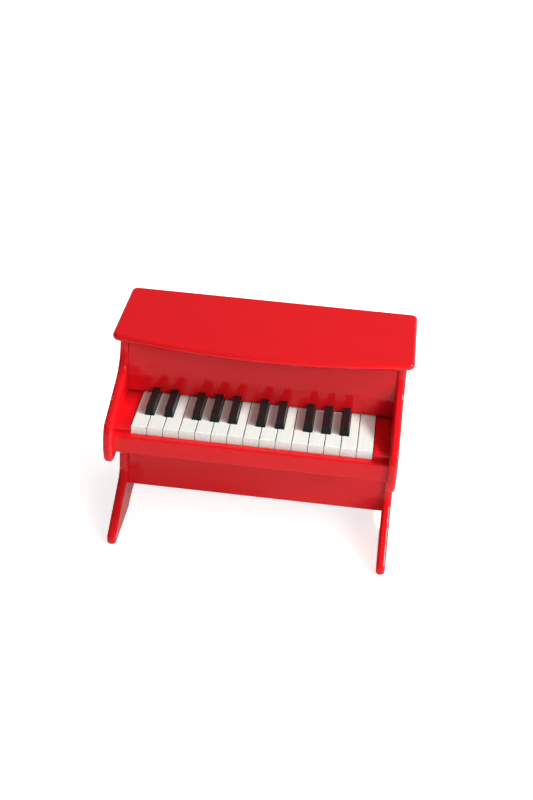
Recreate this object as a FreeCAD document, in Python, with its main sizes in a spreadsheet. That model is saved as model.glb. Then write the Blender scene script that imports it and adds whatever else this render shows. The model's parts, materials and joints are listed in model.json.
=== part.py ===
"""A toy upright piano: a lacquered wooden case, twenty-five keys on one pivot wire, hammers and tone rods.

Millimetres. +X is to the player's right, +Y to the back and +Z up. The origin is on the floor, under the
middle of the overall box. A size whose name ends in _back is a distance behind the fronts of the white keys,
and one that ends in _height is a distance above the floor.
"""
import FreeCAD, Part
import os
import re

import Sketcher

# The driving dimensions. Each name is the alias of a cell of the sheet.
SIZES = {
    # Keys
    "white_pitch": "22",
    "white_gap": "0.8",
    "white_top_height": "208",
    "white_head_length": "29.5",
    "white_edge_radius": "0.9",
    "key_depth": "18",
    "key_dip": "7",
    "black_width": "12",
    "black_top_width": "10.4",
    "black_rise": "11",
    "black_front_slope": "3.5",
    "black_notch_clearance": "0.8",
    "black_panel_gap": "1.8",
    "black_edge_radius": "1",
    "neck_margin": "4",
    "lever_width": "8",
    "lever_tail": "50",
    # Side panels
    "overall_height": "296",
    "panel_thickness": "13",
    "panel_edge_radius": "5",
    "crest_back": "95.5",
    "crest_lean": "4.5",
    "shoulder_drop": "36",
    "shoulder_radius": "40",
    "nose_reach": "21.5",
    "nose_height": "182.5",
    "nose_span": "61",
    "nose_bulge": "8",
    "nose_corner_radius": "8",
    "waist_back": "83",
    "waist_radius": "20",
    "toe_root_height": "69",
    "toe_root_radius": "20",
    "toe_tip_height": "16",
    "toe_reach": "5",
    "toe_tip_radius": "10",
    "toe_bottom_radius": "8",
    "front_foot_length": "94.5",
    "rear_foot_length": "34",
    "arch_rise": "13",
    "arch_corner_radius": "12",
    # Lid
    "lid_thickness": "10",
    "lid_side_overhang": "10",
    "lid_front_overhang": "31",
    "lid_rear_overhang": "11.5",
    "lid_bow": "24",
    "lid_front_corner_radius": "12",
    "lid_rear_corner_radius": "9",
    "lid_edge_radius": "4.5",
    "dowel_radius": "3",
    "dowel_cover": "4",
    "dowel_panel_depth": "14",
    "dowel_front_margin": "22.5",
    "dowel_rear_margin": "18",
    # Boards between the side panels
    "upper_panel_setback": "2",
    "upper_panel_lean": "9.5",
    "upper_panel_thickness": "8",
    "upper_panel_clearance": "2",
    "knee_setback": "9",
    "knee_thickness": "8",
    "knee_edge_radius": "2",
    "knee_bottom_height": "43.8",
    "bed_thickness": "8",
    "bed_room": "13",
    "slip_gap": "1",
    "slip_thickness": "10.5",
    "slip_top_drop": "12.6",
    "slip_edge_radius": "3",
    "slip_bottom_radius": "1.5",
    "key_block_width": "21.8",
    "key_block_drop": "1.5",
    "key_block_tail": "22",
    "key_block_edge_radius": "4",
    "key_block_inner_radius": "1",
    # Back panel and its screws
    "back_panel_thickness": "4",
    "back_panel_inset": "4",
    "back_panel_bottom_height": "47.5",
    "screw_radius": "1.5",
    "screw_clearance": "0.2",
    "screw_head_radius": "3",
    "screw_head_height": "2",
    "panel_screw_depth": "12",
    "panel_screw_margin": "18",
    # Pivot
    "pivot_setback": "18",
    "pivot_wire_radius": "1.5",
    "pivot_clearance": "0.05",
    "pivot_wire_seat": "12",
    "comb_depth": "14",
    "comb_rail_gap": "3",
    "comb_tooth_clearance": "0.8",
    "comb_tooth_drop": "2",
    # Felts, rest rail and return springs
    "front_felt_back": "10",
    "front_felt_width": "14",
    "felt_clearance": "0.3",
    "rest_felt_thickness": "3.7",
    "rest_rail_width": "14",
    "rest_rail_inset": "5",
    "spring_thickness": "0.8",
    "spring_tip_setback": "34",
    "spring_tip_gap": "0.2",
    "spring_finger_run": "26",
    "spring_finger_width": "5",
    "spring_foot_length": "14",
    "spring_foot_margin": "7",
    # Hammers, tone rods and their block
    "hammer_width": "6",
    "hammer_base_length": "14",
    "hammer_base_height": "4",
    "hammer_stem_thickness": "1.6",
    "hammer_reach": "13",
    "hammer_radius": "4",
    "strike_gap": "1.2",
    "rod_radius": "2",
    "rod_end_gap": "9.5",
    "rod_block_gap": "29",
    "rod_block_depth": "12",
    "rod_block_height": "20",
    "rod_block_wall": "3",
    "rod_block_screw_drop": "5.5",
    "cut_overrun": "5",
}

LEFT = -1
RIGHT = 1
WHITE_COUNT = 15
WHITES_PER_OCTAVE = 7
SEMITONES_PER_OCTAVE = 12
# Centre of the black key on the right of a white key, in white pitches from the left end of the octave.
BLACK_CENTRE_SHARES = {0: 0.9, 1: 2.1, 3: 3.86, 4: 5.0, 5: 6.14}
# Places along the rod block's length and the back panel's height that take a screw.
ROD_BLOCK_SCREW_SHARES = (-0.44, -0.15, 0.15, 0.44)
PANEL_SCREW_SHARES = (0.0, 0.34, 0.68, 1.0)
# A clamped rod sounds an octave higher when it is shorter by the square root of two.
ROD_OCTAVE_SHARE = 0.5 ** 0.5
# The most of a wall that a rounded edge may take.
EDGE_WALL_SHARE = 0.46
# The most of the crest's rise above the nose that the shoulder's curve may take.
SHOULDER_RISE_SHARE = 0.6

# Widths that follow from the driving sizes.
KEYBOARD_WIDTH = f"({WHITE_COUNT} * white_pitch)"
OCTAVE_WIDTH = f"({WHITES_PER_OCTAVE} * white_pitch)"
INNER_WIDTH = f"({KEYBOARD_WIDTH} + white_gap + 2 * key_block_width)"
INNER_HALF = f"({INNER_WIDTH} / 2)"
PANEL_MIDDLE = f"({INNER_HALF} + panel_thickness / 2)"
OUTER_WIDTH = f"({INNER_WIDTH} + 2 * panel_thickness)"
LID_WIDTH = f"({OUTER_WIDTH} + 2 * lid_side_overhang)"
WHITE_HALF = "((white_pitch - white_gap) / 2)"
NOTCH_HALF = "(black_width / 2 + black_notch_clearance)"

# Depths behind the key fronts that follow from the driving sizes, from the front to the back.
SLIP_REAR = "(-slip_gap)"
BLACK_FRONT = "(white_head_length + black_notch_clearance)"
LID_BOW_FRONT = "(crest_back - lid_front_overhang)"
UPPER_PANEL_HEAD = "(crest_back + upper_panel_setback)"
UPPER_PANEL_FOOT = f"({UPPER_PANEL_HEAD} - upper_panel_lean)"
NECK_REAR = f"({UPPER_PANEL_FOOT} + upper_panel_thickness + neck_margin)"
PIVOT = f"({NECK_REAR} + pivot_setback)"
LEVER_REAR = f"({PIVOT} + lever_tail)"
HAMMER = f"({LEVER_REAR} + hammer_reach)"
ROD_BLOCK_FRONT = f"({HAMMER} + rod_block_gap)"
PANEL_REAR = f"({ROD_BLOCK_FRONT} + rod_block_depth)"
LID_REAR = f"({PANEL_REAR} + back_panel_thickness + lid_rear_overhang)"
LONGEST_ROD = f"({ROD_BLOCK_FRONT} - {UPPER_PANEL_HEAD} - upper_panel_thickness - rod_end_gap)"
ROD_SEAT = "(rod_block_depth - rod_block_wall)"
KEY_FRONT = f"((nose_reach - {LID_REAR}) / 2)"

# Heights that follow from the driving sizes, from the bottom to the top.
KEY_BOTTOM = "(white_top_height - key_depth)"
BED_TOP = f"({KEY_BOTTOM} - bed_room)"
BED_BOTTOM = f"({BED_TOP} - bed_thickness)"
SLIP_TOP = "(white_top_height - slip_top_drop)"
KEY_BLOCK_TOP = "(white_top_height - key_block_drop)"
UPPER_PANEL_BOTTOM = "(white_top_height + upper_panel_clearance)"
PIVOT_HEIGHT = "(white_top_height - key_depth / 2)"
HAMMER_HEIGHT = "(white_top_height + hammer_base_height / 2)"
PRESS_SLOPE = f"(key_dip / {PIVOT})"
ROD_HEIGHT = (
    f"({HAMMER_HEIGHT} + hammer_radius + {PRESS_SLOPE} * (lever_tail + hammer_reach)"
    " + strike_gap + rod_radius)"
)
PANEL_TOP = "(overall_height - lid_thickness)"
BACK_PANEL_HEIGHT = f"({PANEL_TOP} - back_panel_bottom_height)"

doc = FreeCAD.newDocument("toy_piano")
sheet = doc.addObject("Spreadsheet::Sheet", "Sizes")
for row, (alias, text) in enumerate(SIZES.items(), start=1):
    sheet.set(f"A{row}", alias)
    sheet.set(f"B{row}", text)
    sheet.setAlias(f"B{row}", alias)
doc.recompute()

nodes = []


def terms(text):
    """The expression for a text that names sizes by their alias alone."""
    return re.sub(r"[a-z]\w*", lambda word: f"Sizes.{word[0]}" if word[0] in SIZES else word[0], text)


def number(text):
    """The present value of such a text."""
    return float(sheet.evalExpression(terms(text)))


def bind(item, **texts):
    """Ties properties of an object to the sheet."""
    for name, text in texts.items():
        item.setExpression(name, terms(text))
    return item


def place(item, x="0", y="0", z="0"):
    """Ties the position of an object to the sheet."""
    for axis, text in zip("xyz", (x, y, z)):
        item.setExpression(f"Placement.Base.{axis}", terms(text))
    return item


def back(text):
    """Row Y of a place that lies so far behind the key fronts."""
    return f"({KEY_FRONT} + {text})"


def node(item, label):
    """Names a finished sub-part and lists it for export."""
    item.Label = label
    nodes.append(item)
    return item


def box(name, sizes, corner):
    """A board or bar from its three sizes and its lowest corner."""
    item = doc.addObject("Part::Box", name)
    bind(item, Length=sizes[0], Width=sizes[1], Height=sizes[2])
    return place(item, *corner)


def rod(name, radius, length, start, axis):
    """A round bar that starts at a point and runs along +X, +Y or +Z."""
    item = doc.addObject("Part::Cylinder", name)
    bind(item, Radius=radius, Height=length)
    turned = FreeCAD.Rotation(FreeCAD.Vector(0, 0, 1), FreeCAD.Vector(*axis))
    item.Placement = FreeCAD.Placement(FreeCAD.Vector(), turned)
    return place(item, *start)


ALONG_X = (1, 0, 0)
ALONG_Y = (0, 1, 0)
ALONG_Z = (0, 0, 1)


def compound(name, items):
    """Several separate solids as one object."""
    item = doc.addObject("Part::Compound", name)
    item.Links = items
    return item


def fuse(name, items):
    """Several solids joined into one."""
    item = doc.addObject("Part::MultiFuse", name)
    item.Shapes = items
    item.Refine = True
    return item


def cut(name, base, tools):
    """A solid with the space of the tools taken out."""
    item = doc.addObject("Part::Cut", name)
    item.Base = base
    item.Tool = compound(f"{name}_tools", tools)
    return item


def new_body(name):
    """An empty body."""
    return doc.addObject("PartDesign::Body", name)


def sketch_on(body, name, role, offset="0"):
    """An empty sketch on one of the body's origin planes, moved along the plane's normal."""
    sketch = body.newObject("Sketcher::SketchObject", name)
    plane = next(item for item in body.Origin.OriginFeatures if item.Role == role)
    sketch.AttachmentSupport = [(plane, "")]
    sketch.MapMode = "FlatFace"
    sketch.setExpression("AttachmentOffset.Base.z", terms(offset))
    return sketch


def fix_point(sketch, geometry, end, spot):
    """Ties a point of a sketch to the sheet."""
    for kind, text in zip(("DistanceX", "DistanceY"), spot):
        index = sketch.addConstraint(Sketcher.Constraint(kind, -1, 1, geometry, end, number(text)))
        sketch.setExpression(f"Constraints[{index}]", terms(text))


def outline(sketch, spots, crowns=None):
    """A closed outline through spots. An edge with a crown is an arc through that point."""
    crowns = crowns or {}
    flat = [FreeCAD.Vector(number(u), number(v), 0) for u, v in spots]
    ends = []
    for index, start in enumerate(flat):
        stop = flat[(index + 1) % len(flat)]
        if index in crowns:
            middle = FreeCAD.Vector(*(number(text) for text in crowns[index]), 0)
            edge = sketch.addGeometry(Part.Arc(start, middle, stop), False)
            forward = sketch.getPoint(edge, 1).isEqual(start, Part.Precision.confusion())
            ends.append((edge, 1, 2) if forward else (edge, 2, 1))
        else:
            edge = sketch.addGeometry(Part.LineSegment(start, stop), False)
            ends.append((edge, 1, 2))
    for index, (edge, first, last) in enumerate(ends):
        following, following_first, _ = ends[(index + 1) % len(ends)]
        sketch.addConstraint(Sketcher.Constraint("Coincident", edge, last, following, following_first))
        fix_point(sketch, edge, first, spots[index])
    for index, crown in crowns.items():
        middle = FreeCAD.Vector(*(number(text) for text in crown), 0)
        point = sketch.addGeometry(Part.Point(middle), True)
        fix_point(sketch, point, 1, crown)
        sketch.addConstraint(Sketcher.Constraint("PointOnObject", point, 1, ends[index][0]))
    return sketch


def circle(sketch, spot, radius):
    """A circle on a sketch."""
    centre = FreeCAD.Vector(number(spot[0]), number(spot[1]), 0)
    edge = sketch.addGeometry(Part.Circle(centre, FreeCAD.Vector(0, 0, 1), number(radius)), False)
    fix_point(sketch, edge, 3, spot)
    index = sketch.addConstraint(Sketcher.Constraint("Radius", edge, number(radius)))
    sketch.setExpression(f"Constraints[{index}]", terms(radius))
    return sketch


def pad(body, name, sketch, length, middle=False):
    """A sketch raised to a length, on one side of its plane or evenly on both."""
    item = body.newObject("PartDesign::Pad", name)
    item.Profile = sketch
    item.Midplane = middle
    bind(item, Length=length)
    doc.recompute()
    return item


def bore(body, name, sketch, length):
    """A sketch cut out evenly on both sides of its plane."""
    item = body.newObject("PartDesign::Pocket", name)
    item.Profile = sketch
    item.Midplane = True
    bind(item, Length=length)
    doc.recompute()
    return item


def same(first, second):
    """Whether two lengths agree to within the kernel's own tolerance for a sketch."""
    return abs(first - second) < Part.Precision.approximation()


def round_edges(body, name, radius, wanted):
    """A fillet on the edges of the body's tip that a test picks."""
    base = body.Tip
    picked = [f"Edge{index}" for index, edge in enumerate(base.Shape.Edges, start=1) if wanted(edge)]
    item = body.newObject("PartDesign::Fillet", name)
    item.Base = (base, picked)
    bind(item, Radius=radius)
    doc.recompute()
    return item


def runs_along_x_at(spots):
    """Picks the edges of a profile's corners."""
    places = [(number(y), number(z)) for y, z in spots]

    def wanted(edge):
        ends = [vertex.Point for vertex in edge.Vertexes]
        return any(all(same(end.y, y) and same(end.z, z) for end in ends) for y, z in places)

    return wanted


# Where the keys are


def white_centre(index):
    """X of the middle of a white key's head."""
    return f"(({index} + 1 / 2) * white_pitch - {KEYBOARD_WIDTH} / 2)"


def has_black_on_right(index):
    """Whether a black key stands between this white key and the next."""
    return index + 1 < WHITE_COUNT and index % WHITES_PER_OCTAVE in BLACK_CENTRE_SHARES


def black_centre(index):
    """X of the middle of the black key on the right of a white key."""
    octave, step = divmod(index, WHITES_PER_OCTAVE)
    share = WHITES_PER_OCTAVE * octave + BLACK_CENTRE_SHARES[step]
    return f"({share} * white_pitch - {KEYBOARD_WIDTH} / 2)"


def neck_sides(index):
    """Left and right sides of a white key's neck, from the middle of its head."""
    left = f"(-{WHITE_HALF})"
    right = WHITE_HALF
    if index and has_black_on_right(index - 1):
        left = f"({black_centre(index - 1)} + {NOTCH_HALF} - {white_centre(index)})"
    if has_black_on_right(index):
        right = f"({black_centre(index)} - {NOTCH_HALF} - {white_centre(index)})"
    return left, right


def lever_centres():
    """X of each key's lever, from the lowest note to the highest."""
    centres = []
    for index in range(WHITE_COUNT):
        left, right = neck_sides(index)
        centres.append(f"({white_centre(index)} + ({left} + {right}) / 2)")
        if has_black_on_right(index):
            centres.append(black_centre(index))
    return centres


# Where the fasteners are


def dowel_spots(sides=(LEFT, RIGHT)):
    """X and Y of the dowels between the lid and the side panels."""
    return [
        (f"({side} * {PANEL_MIDDLE})", back(depth))
        for side in sides
        for depth in ("(crest_back + dowel_front_margin)", f"({PANEL_REAR} - dowel_rear_margin)")
    ]


def panel_screw_spots(side):
    """X and Z of the screws through one long edge of the back panel."""
    reach = f"({BACK_PANEL_HEIGHT} - 2 * panel_screw_margin)"
    return [
        (f"({side} * {PANEL_MIDDLE})", f"(back_panel_bottom_height + panel_screw_margin + {share} * {reach})")
        for share in PANEL_SCREW_SHARES
    ]


def block_screw_spots():
    """X and Z of the screws that hold the rod block."""
    return [
        (f"({share} * {KEYBOARD_WIDTH})", f"({ROD_HEIGHT} - rod_block_screw_drop)")
        for share in ROD_BLOCK_SCREW_SHARES
    ]


# The case


def side_panel(label, side):
    """One shaped side: crest, hollow shoulder, round nose, waist, sloping toe and floor arch."""
    shoulder = ("(crest_back - crest_lean)", f"({PANEL_TOP} - shoulder_drop)")
    nose_back = "(nose_bulge - nose_reach)"
    nose_top = (nose_back, "(nose_height + nose_span / 2)")
    nose_bottom = (nose_back, "(nose_height - nose_span / 2)")
    waist = ("waist_back", nose_bottom[1])
    toe_root = ("waist_back", "toe_root_height")
    toe_tip = ("(-toe_reach)", "toe_tip_height")
    toe_bottom = ("(-toe_reach)", "0")
    arch_front = ("(front_foot_length - toe_reach)", "0")
    arch_rear = (f"({PANEL_REAR} - rear_foot_length)", "0")
    spots = [
        ("crest_back", PANEL_TOP), shoulder, nose_top, nose_bottom, waist, toe_root, toe_tip, toe_bottom,
        arch_front, arch_rear, (PANEL_REAR, "0"), (PANEL_REAR, PANEL_TOP),
    ]
    crowns = {
        spots.index(nose_top): ("(-nose_reach)", "nose_height"),
        spots.index(arch_front): (f"(({arch_front[0]} + {arch_rear[0]}) / 2)", "arch_rise"),
    }
    crest_rise = f"({PANEL_TOP} - {nose_top[1]})"
    body = new_body(f"{label}_body")
    sketch = outline(sketch_on(body, f"{label}_outline", "YZ_Plane"), spots, crowns)
    pad(body, f"{label}_pad", sketch, "panel_thickness", middle=True)
    for name, radius, corners in (
        ("shoulder", f"min(shoulder_radius; {SHOULDER_RISE_SHARE} * {crest_rise})", [shoulder]),
        ("nose", "nose_corner_radius", [nose_top, nose_bottom]),
        ("waist", "waist_radius", [waist]),
        ("toe_root", "toe_root_radius", [toe_root]),
        ("toe_tip", "toe_tip_radius", [toe_tip]),
        ("toe_bottom", "toe_bottom_radius", [toe_bottom]),
        ("arch", "arch_corner_radius", [arch_front, arch_rear]),
    ):
        round_edges(body, f"{label}_{name}", radius, runs_along_x_at(corners))
    face = number("panel_thickness / 2")
    rear = number(PANEL_REAR)
    top = number(PANEL_TOP)

    def on_shaped_rim(edge):
        ends = [vertex.Point for vertex in edge.Vertexes]
        in_face = all(same(abs(end.x), face) for end in ends) and same(ends[0].x, ends[-1].x)
        square = all(same(end.y, rear) for end in ends) or all(same(end.z, top) for end in ends)
        return in_face and not square

    limit = f"({EDGE_WALL_SHARE} * panel_thickness)"
    round_edges(body, f"{label}_rim", f"min(panel_edge_radius; {limit})", on_shaped_rim)
    place(body, f"({side} * {PANEL_MIDDLE})", KEY_FRONT)
    holes = [
        rod(f"{label}_dowel_hole_{index}", "dowel_radius", "(dowel_panel_depth + cut_overrun)",
            (x, y, f"({PANEL_TOP} - dowel_panel_depth)"), ALONG_Z)
        for index, (x, y) in enumerate(dowel_spots([side]))
    ]
    holes += [
        rod(f"{label}_screw_hole_{index}", "screw_radius", "(panel_screw_depth + cut_overrun)",
            (x, back(f"({PANEL_REAR} - panel_screw_depth)"), z), ALONG_Y)
        for index, (x, z) in enumerate(panel_screw_spots(side))
    ]
    node(cut(f"{label}_cut", body, holes), label)


def top_lid():
    """The flat lid, bowed at the front, with rounded corners and edges."""
    half = f"({LID_WIDTH} / 2)"
    front = f"({LID_BOW_FRONT} + lid_bow)"
    spots = [(half, front), (half, LID_REAR), (f"(-{half})", LID_REAR), (f"(-{half})", front)]
    body = new_body("top_lid_body")
    sketch = sketch_on(body, "top_lid_outline", "XY_Plane")
    outline(sketch, spots, {len(spots) - 1: ("0", LID_BOW_FRONT)})
    pad(body, "top_lid_pad", sketch, "lid_thickness")
    thickness = number("lid_thickness")
    for name, radius, depth in (
        ("front_corners", "lid_front_corner_radius", front),
        ("rear_corners", "lid_rear_corner_radius", LID_REAR),
    ):
        y = number(depth)

        def upright(edge):
            ends = [vertex.Point for vertex in edge.Vertexes]
            return same(edge.Length, thickness) and all(same(end.y, y) for end in ends)

        round_edges(body, f"top_lid_{name}", radius, upright)

    def level(edge):
        heights = [vertex.Z for vertex in edge.Vertexes]
        return all(same(z, 0) for z in heights) or all(same(z, thickness) for z in heights)

    limit = f"({EDGE_WALL_SHARE} * lid_thickness)"
    round_edges(body, "top_lid_edges", f"min(lid_edge_radius; {limit})", level)
    place(body, "0", KEY_FRONT, PANEL_TOP)
    holes = [
        rod(f"top_lid_dowel_hole_{index}", "dowel_radius", "(lid_thickness - dowel_cover + cut_overrun)",
            (x, y, f"({PANEL_TOP} - cut_overrun)"), ALONG_Z)
        for index, (x, y) in enumerate(dowel_spots())
    ]
    node(cut("top_lid_cut", body, holes), "top_lid")


def lid_dowels():
    """The glued pins between the lid and the side panels."""
    pins = [
        rod(f"lid_dowel_{index}", "dowel_radius", "(dowel_panel_depth + lid_thickness - dowel_cover)",
            (x, y, f"({PANEL_TOP} - dowel_panel_depth)"), ALONG_Z)
        for index, (x, y) in enumerate(dowel_spots())
    ]
    node(compound("lid_dowel_set", pins), "lid_dowels")


def profile_board(name, spots, width, x):
    """A board from its side profile, centred on a place across the piano."""
    body = new_body(f"{name}_body")
    sketch = outline(sketch_on(body, f"{name}_outline", "YZ_Plane"), spots)
    pad(body, f"{name}_pad", sketch, width, middle=True)
    return place(body, x, KEY_FRONT)


def upper_front_panel():
    """The board above the keys, leaning back to the lid."""
    spots = [
        (UPPER_PANEL_FOOT, UPPER_PANEL_BOTTOM),
        (f"({UPPER_PANEL_FOOT} + upper_panel_thickness)", UPPER_PANEL_BOTTOM),
        (f"({UPPER_PANEL_HEAD} + upper_panel_thickness)", PANEL_TOP),
        (UPPER_PANEL_HEAD, PANEL_TOP),
    ]
    node(profile_board("upper_front", spots, INNER_WIDTH, "0"), "upper_front_panel")


def knee_board():
    """The board under the key bed, set back behind the waist of the side panels."""
    front = "(waist_back + knee_setback)"
    rear = f"({front} + knee_thickness)"
    bottom = "knee_bottom_height"
    spots = [(front, bottom), (rear, bottom), (rear, BED_BOTTOM), (front, BED_BOTTOM)]
    body = profile_board("knee", spots, INNER_WIDTH, "0")
    round_edges(body, "knee_bottom", "knee_edge_radius", runs_along_x_at(spots[:2]))
    node(body, "knee_board")


def key_bed():
    """The shelf that carries the keys, from the slip to the back panel."""
    sizes = (INNER_WIDTH, f"({PANEL_REAR} + slip_gap)", "bed_thickness")
    node(box("key_bed_board", sizes, (f"(-{INNER_HALF})", back(SLIP_REAR), BED_BOTTOM)), "key_bed")


def key_slip():
    """The rail in front of the keys, rounded along its front edges."""
    front = "(-slip_gap - slip_thickness)"
    spots = [(front, BED_BOTTOM), (SLIP_REAR, BED_BOTTOM), (SLIP_REAR, SLIP_TOP), (front, SLIP_TOP)]
    body = profile_board("key_slip", spots, INNER_WIDTH, "0")
    round_edges(body, "key_slip_top", "slip_edge_radius", runs_along_x_at([spots[-1]]))
    round_edges(body, "key_slip_bottom", "slip_bottom_radius", runs_along_x_at([spots[0]]))
    node(body, "key_slip")


def key_block(label, side):
    """The block at one end of the keys. It stands on the bed behind the slip and holds the pivot wire."""
    rear = f"({PIVOT} + key_block_tail)"
    spots = [(SLIP_REAR, BED_TOP), (rear, BED_TOP), (rear, KEY_BLOCK_TOP), (SLIP_REAR, KEY_BLOCK_TOP)]
    middle = f"({side} * ({INNER_HALF} - key_block_width / 2))"
    body = profile_board(label, spots, "key_block_width", middle)
    round_edges(body, f"{label}_top", "key_block_edge_radius", runs_along_x_at([spots[-1]]))
    inner = number(f"(-{side} * key_block_width / 2)")
    bottom = number(BED_TOP)
    tail = number(rear)

    def beside_the_keys(edge):
        ends = [vertex.Point for vertex in edge.Vertexes]
        hidden = all(same(end.z, bottom) for end in ends) or all(same(end.y, tail) for end in ends)
        return all(same(end.x, inner) for end in ends) and not hidden

    round_edges(body, f"{label}_inner", "key_block_inner_radius", beside_the_keys)
    node(cut(f"{label}_cut", body, [pivot_wire(f"{label}_wire_hole", "pivot_wire_radius")]), label)


def screw_set(label, spots, depth):
    """Round-headed screws driven forwards through the back panel."""
    heads = back(f"({PANEL_REAR} + back_panel_thickness)")
    start = back(f"({PANEL_REAR} - {depth})")
    screws = []
    for index, (x, z) in enumerate(spots):
        length = f"({depth} + back_panel_thickness)"
        shank = rod(f"{label}_shank_{index}", "screw_radius", length, (x, start, z), ALONG_Y)
        head = rod(f"{label}_head_{index}", "screw_head_radius", "screw_head_height", (x, heads, z), ALONG_Y)
        screws.append(fuse(f"{label}_{index}", [shank, head]))
    node(compound(f"{label}_set", screws), label)


def back_panel():
    """The thin board on the back of the side panels, with its screw holes."""
    width = f"({OUTER_WIDTH} - 2 * back_panel_inset)"
    board = box("back_panel_board", (width, "back_panel_thickness", BACK_PANEL_HEIGHT),
                (f"(-{width} / 2)", back(PANEL_REAR), "back_panel_bottom_height"))
    edge_spots = panel_screw_spots(LEFT) + panel_screw_spots(RIGHT)
    length = "(back_panel_thickness + 2 * cut_overrun)"
    holes = [
        rod(f"back_panel_hole_{index}", "(screw_radius + screw_clearance)", length,
            (x, back(f"({PANEL_REAR} - cut_overrun)"), z), ALONG_Y)
        for index, (x, z) in enumerate(edge_spots + block_screw_spots())
    ]
    node(cut("back_panel_cut", board, holes), "back_panel")
    screw_set("back_panel_screws", edge_spots, "panel_screw_depth")
    screw_set("rod_block_screws", block_screw_spots(), ROD_SEAT)


# The action


def pivot_wire(name, radius):
    """A round bar on the pivot line, with its ends seated in the key blocks."""
    length = f"({KEYBOARD_WIDTH} + 2 * pivot_wire_seat)"
    return rod(name, radius, length, (f"(-{length} / 2)", back(PIVOT), PIVOT_HEIGHT), ALONG_X)


def balance_comb():
    """The rail under the levers, with a tooth between each two levers to carry the pivot wire."""
    front = back(f"({PIVOT} - comb_depth / 2)")
    pieces = [
        box("balance_comb_rail", (KEYBOARD_WIDTH, "comb_depth", "(bed_room - comb_rail_gap)"),
            (f"(-{KEYBOARD_WIDTH} / 2)", front, BED_TOP)),
    ]
    centres = lever_centres()
    height = f"(white_top_height - comb_tooth_drop - {BED_TOP})"
    for index, (lower, upper) in enumerate(zip(centres, centres[1:])):
        left = f"({lower} + lever_width / 2 + comb_tooth_clearance)"
        width = f"({upper} - {lower} - lever_width - 2 * comb_tooth_clearance)"
        tooth = box(f"balance_comb_tooth_{index}", (width, "comb_depth", height), (left, front, BED_TOP))
        pieces.append(tooth)
    comb = fuse("balance_comb_solid", pieces)
    hole = pivot_wire("balance_comb_wire_hole", "pivot_wire_radius")
    node(cut("balance_comb_cut", comb, [hole]), "balance_comb")


def felt_and_rail():
    """The felt under the key fronts, and the felt on its rail that the levers rest on."""
    left = f"(-{KEYBOARD_WIDTH} / 2)"
    drop = f"({PRESS_SLOPE} * ({PIVOT} - front_felt_back))"
    front_height = f"({KEY_BOTTOM} - {drop} - felt_clearance - {BED_TOP})"
    front = box("front_key_felt_box", (KEYBOARD_WIDTH, "front_felt_width", front_height),
                (left, back("front_felt_back"), BED_TOP))
    node(front, "front_key_felt")
    rail_front = back(f"({LEVER_REAR} - rest_rail_inset - rest_rail_width)")
    rail_height = "(bed_room - felt_clearance - rest_felt_thickness)"
    rail = box("rest_rail_box", (KEYBOARD_WIDTH, "rest_rail_width", rail_height), (left, rail_front, BED_TOP))
    node(rail, "rest_rail")
    rest = box("rest_rail_felt_box", (KEYBOARD_WIDTH, "rest_rail_width", "rest_felt_thickness"),
               (left, rail_front, f"({BED_TOP} + {rail_height})"))
    node(rest, "rest_rail_felt")


def key_return_spring():
    """A strip of spring steel on the bed, with one raised finger under each key."""
    body = new_body("key_return_spring_body")
    pitch = f"({OCTAVE_WIDTH} / {SEMITONES_PER_OCTAVE})"
    count = len(lever_centres())
    reach = f"(({count} - 1) * {pitch})"
    tip = f"({PIVOT} - spring_tip_setback)"
    foot_rear = f"({tip} - spring_finger_run)"
    foot_front = f"({foot_rear} - spring_foot_length)"
    foot_top = f"({BED_TOP} + spring_thickness)"
    tip_top = f"({KEY_BOTTOM} - spring_tip_gap)"
    foot = [(foot_front, BED_TOP), (foot_rear, BED_TOP), (foot_rear, foot_top), (foot_front, foot_top)]
    strip = outline(sketch_on(body, "key_return_spring_foot", "YZ_Plane", "(-spring_foot_margin)"), foot)
    pad(body, "key_return_spring_strip", strip, f"({reach} + 2 * spring_foot_margin)")
    raised = [
        (foot_front, BED_TOP), (foot_rear, BED_TOP), (tip, f"({tip_top} - spring_thickness)"),
        (tip, tip_top), (foot_rear, foot_top), (foot_front, foot_top),
    ]
    bent = outline(sketch_on(body, "key_return_spring_bend", "YZ_Plane"), raised)
    finger = pad(body, "key_return_spring_finger", bent, "spring_finger_width", middle=True)
    row_of_fingers = body.newObject("PartDesign::LinearPattern", "key_return_spring_fingers")
    row_of_fingers.Originals = [finger]
    row_of_fingers.Direction = (bent, ["N_Axis"])
    row_of_fingers.Occurrences = count
    bind(row_of_fingers, Length=reach)
    body.Tip = row_of_fingers
    place(body, lever_centres()[0], KEY_FRONT)
    node(body, "key_return_spring")


def rod_set(name, radius):
    """The tone rods, shorter from the lowest note to the highest, as separate bars."""
    bars = []
    for index, x in enumerate(lever_centres()):
        share = ROD_OCTAVE_SHARE ** (index / SEMITONES_PER_OCTAVE)
        free = f"({share} * {LONGEST_ROD})"
        start = (x, back(f"({ROD_BLOCK_FRONT} - {free})"), ROD_HEIGHT)
        bars.append(rod(f"{name}_{index}", radius, f"({free} + {ROD_SEAT})", start, ALONG_Y))
    return bars


def tone_rods():
    """The rods, and the cast block on the back panel that they are pressed into."""
    node(compound("tone_rod_set", rod_set("tone_rod", "rod_radius")), "tone_rods")
    bar = box("rod_block_bar", (KEYBOARD_WIDTH, "rod_block_depth", "rod_block_height"),
              (f"(-{KEYBOARD_WIDTH} / 2)", back(ROD_BLOCK_FRONT), f"({ROD_HEIGHT} - rod_block_height / 2)"))
    holes = rod_set("rod_block_bore", "rod_radius")
    holes += [
        rod(f"rod_block_screw_hole_{index}", "screw_radius", f"({ROD_SEAT} + cut_overrun)",
            (x, back(f"({PANEL_REAR} - {ROD_SEAT})"), z), ALONG_Y)
        for index, (x, z) in enumerate(block_screw_spots())
    ]
    node(cut("rod_block_cut", bar, holes), "rod_block")


# The keys


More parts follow.
